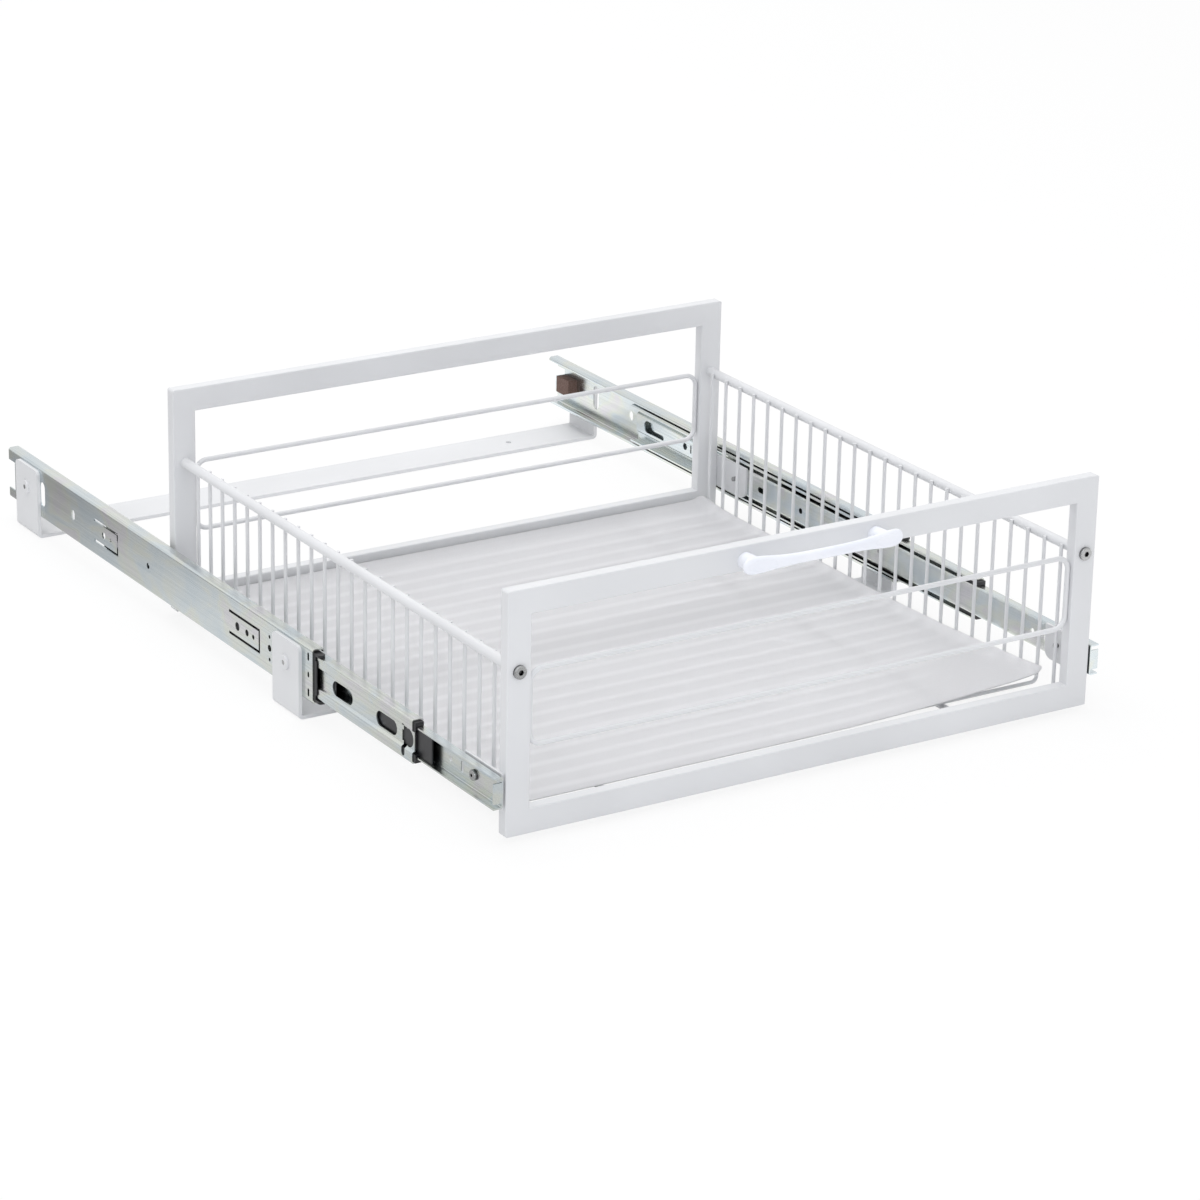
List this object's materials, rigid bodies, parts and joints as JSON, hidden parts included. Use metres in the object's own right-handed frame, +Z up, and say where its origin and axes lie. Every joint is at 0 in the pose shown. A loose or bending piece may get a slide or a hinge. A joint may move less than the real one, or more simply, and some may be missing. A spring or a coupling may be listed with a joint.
{
  "type": "pull-out wire basket",
  "caption": "White wire basket on telescopic ball slides, with cross straps that screw to a cabinet floor and a bow handle.",
  "frame": {"origin": "centre of the four floor screws, on the underside of the cross straps", "axes": "+X to the right, +Y to the back of the cabinet, +Z up"},
  "size_m": [0.5674, 0.837, 0.1945],
  "materials": {
    "white_paint": "smooth satin powder coat",
    "zinc_steel": "bright zinc plate",
    "black_plastic": "moulded",
    "stainless": "turned",
    "ball_steel": "polished",
    "brown_rubber": "moulded",
    "mat_plastic": "translucent sheet",
    "handle_plastic": "gloss"
  },
  "bodies": {
    "cabinet_side": {"strap_front": "white_paint", "strap_rear": "white_paint", "slide_screw_front_left": "stainless", "weld_nut_front_left": "white_paint", "slide_screw_rear_left": "stainless", "weld_nut_rear_left": "white_paint", "outer_rail_left": "zinc_steel", "outer_guide_left": "black_plastic", "rail_bumper_left": "brown_rubber", "slide_screw_front_right": "stainless", "weld_nut_front_right": "white_paint", "slide_screw_rear_right": "stainless", "weld_nut_rear_right": "white_paint", "outer_rail_right": "zinc_steel", "outer_guide_right": "black_plastic", "rail_bumper_right": "brown_rubber"},
    "basket": {"front_frame": "white_paint", "rear_frame": "white_paint", "front_loop": "white_paint", "rear_loop": "white_paint", "u_wires": "white_paint", "liner_mat": "mat_plastic", "handle": "handle_plastic", "handle_screw_left": "stainless", "handle_screw_right": "stainless", "side_plate_front_left": "white_paint", "frame_screw_front_left": "stainless", "rail_screw_front_left": "stainless", "side_plate_rear_left": "white_paint", "frame_screw_rear_left": "stainless", "rail_screw_rear_left": "stainless", "top_rail_left": "white_paint", "floor_bar_left": "white_paint", "inner_rail_left": "zinc_steel", "lever_pin_left": "stainless", "side_plate_front_right": "white_paint", "frame_screw_front_right": "stainless", "rail_screw_front_right": "stainless", "side_plate_rear_right": "white_paint", "frame_screw_rear_right": "stainless", "rail_screw_rear_right": "stainless", "top_rail_right": "white_paint", "floor_bar_right": "white_paint", "inner_rail_right": "zinc_steel", "lever_pin_right": "stainless"},
    "middle_member_left": {"middle_rail_left": "zinc_steel", "middle_guide_left": "black_plastic"},
    "outer_ball_cage_left": {"outer_cage_left": "black_plastic", "outer_balls_left": "ball_steel"},
    "inner_ball_cage_left": {"inner_cage_left": "black_plastic", "inner_balls_left": "ball_steel"},
    "lever_left": {"release_lever_left": "black_plastic"},
    "middle_member_right": {"middle_rail_right": "zinc_steel", "middle_guide_right": "black_plastic"},
    "outer_ball_cage_right": {"outer_cage_right": "black_plastic", "outer_balls_right": "ball_steel"},
    "inner_ball_cage_right": {"inner_cage_right": "black_plastic", "inner_balls_right": "ball_steel"},
    "lever_right": {"release_lever_right": "black_plastic"}
  },
  "joints": [
    {"name": "basket_slide", "type": "slide", "parent": "cabinet_side", "child": "basket", "axis": [0, -1, 0], "range_m": [-0.2375, 0.2875]},
    {"name": "middle_slide_left", "type": "slide", "parent": "cabinet_side", "child": "middle_member_left", "axis": [0, -1, 0], "range_m": [-0.14725, 0.17825]},
    {"name": "outer_cage_slide_left", "type": "slide", "parent": "cabinet_side", "child": "outer_ball_cage_left", "axis": [0, -1, 0], "range_m": [-0.07362, 0.08912]},
    {"name": "inner_cage_slide_left", "type": "slide", "parent": "cabinet_side", "child": "inner_ball_cage_left", "axis": [0, -1, 0], "range_m": [-0.19237, 0.23287]},
    {"name": "lever_hinge_left", "type": "hinge", "parent": "basket", "child": "lever_left", "pos_m": [-0.2685, -0.253, 0.041], "axis": [1, 0, 0], "range_deg": [-8, 8], "stiffness_Nm_per_rad": 0.01},
    {"name": "middle_slide_right", "type": "slide", "parent": "cabinet_side", "child": "middle_member_right", "axis": [0, -1, 0], "range_m": [-0.10925, 0.13225]},
    {"name": "outer_cage_slide_right", "type": "slide", "parent": "cabinet_side", "child": "outer_ball_cage_right", "axis": [0, -1, 0], "range_m": [-0.05462, 0.06613]},
    {"name": "inner_cage_slide_right", "type": "slide", "parent": "cabinet_side", "child": "inner_ball_cage_right", "axis": [0, -1, 0], "range_m": [-0.17338, 0.20988]},
    {"name": "lever_hinge_right", "type": "hinge", "parent": "basket", "child": "lever_right", "pos_m": [0.2685, -0.253, 0.041], "axis": [1, 0, 0], "range_deg": [-8, 8], "stiffness_Nm_per_rad": 0.01}
  ],
  "couplings": [
    {"joint": "middle_slide_left", "follows": "basket_slide", "ratio": 0.62},
    {"joint": "outer_cage_slide_left", "follows": "basket_slide", "ratio": 0.31},
    {"joint": "inner_cage_slide_left", "follows": "basket_slide", "ratio": 0.81},
    {"joint": "middle_slide_right", "follows": "basket_slide", "ratio": 0.46},
    {"joint": "outer_cage_slide_right", "follows": "basket_slide", "ratio": 0.23},
    {"joint": "inner_cage_slide_right", "follows": "basket_slide", "ratio": 0.73}
  ]
}
